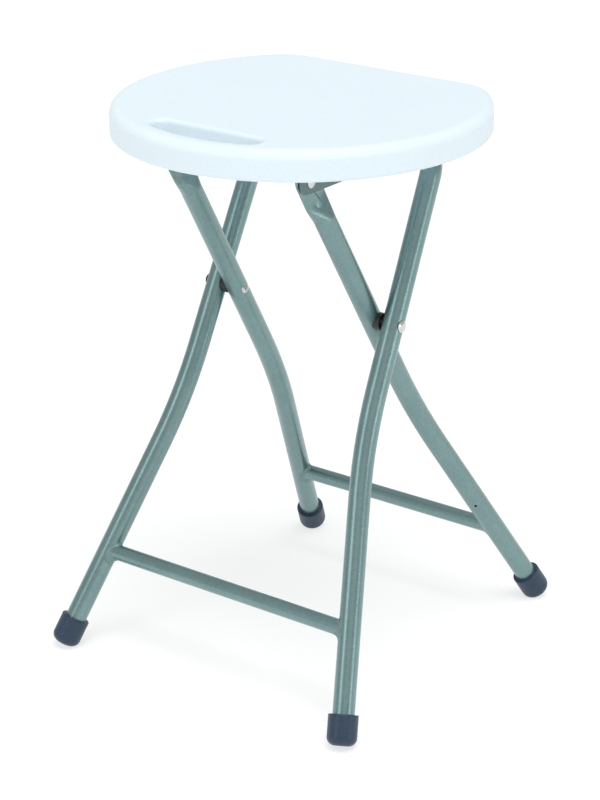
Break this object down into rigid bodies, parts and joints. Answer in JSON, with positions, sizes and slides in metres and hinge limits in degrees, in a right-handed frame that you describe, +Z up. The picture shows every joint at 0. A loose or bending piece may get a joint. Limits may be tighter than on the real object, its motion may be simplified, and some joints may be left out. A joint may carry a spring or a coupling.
{
  "type": "folding stool",
  "caption": "Folding stool with a round plastic seat, flat at the back and with a handle slot at the front, on two crossed bent-tube frames that fold flat about side pivots",
  "frame": {"origin": "centre of the footprint on the floor", "axes": "+X along the line of the cross pivots, +Y towards the flat back edge of the seat, +Z up; the handle slot is at the front, -Y"},
  "size_m": [0.303, 0.3244, 0.45],
  "materials": {
    "seat_plastic": "blow-moulded polyethylene, white, satin with a fine pebble texture",
    "frame_paint": "grey-green hammertone powder coat, satin",
    "bracket_paint": "grey-green powder coat on pressed steel",
    "rivet_steel": "bright zinc-plated steel",
    "screw_steel": "zinc-plated steel",
    "spacer_plastic": "black nylon",
    "washer_plastic": "natural nylon",
    "clip_plastic": "dark moulded plastic",
    "foot_rubber": "dark slate-blue rubber, satin"
  },
  "bodies": {
    "inner_frame": {"inner_leg_left": "frame_paint", "inner_leg_right": "frame_paint", "inner_stretcher": "frame_paint", "pivot_rivets": "rivet_steel", "pivot_spacer_left": "spacer_plastic", "pivot_spacer_right": "spacer_plastic", "foot_cap_back_left": "foot_rubber", "foot_cap_back_right": "foot_rubber"},
    "outer_frame": {"outer_leg_left": "frame_paint", "outer_leg_right": "frame_paint", "outer_top_bar": "frame_paint", "outer_stretcher": "frame_paint", "foot_cap_front_left": "foot_rubber", "foot_cap_front_right": "foot_rubber"},
    "seat_assembly": {"seat": "seat_plastic", "seat_bracket_left": "bracket_paint", "seat_bracket_right": "bracket_paint", "seat_hinge_rivets": "rivet_steel", "hinge_washers": "washer_plastic", "bracket_screws": "screw_steel", "bar_clip_left": "clip_plastic", "bar_clip_right": "clip_plastic", "clip_screws": "screw_steel"}
  },
  "joints": [
    {"name": "leg_fold", "type": "hinge", "parent": "inner_frame", "child": "outer_frame", "pos_m": [0, -0.01113, 0.2856], "axis": [1, 0, 0], "range_deg": [0, 48]},
    {"name": "seat_tilt", "type": "hinge", "parent": "inner_frame", "child": "seat_assembly", "pos_m": [0, -0.08662, 0.4145], "axis": [1, 0, 0], "range_deg": [0, 118]}
  ],
  "couplings": [
    {"joint": "seat_tilt", "follows": "leg_fold", "ratio": 2.44}
  ]
}
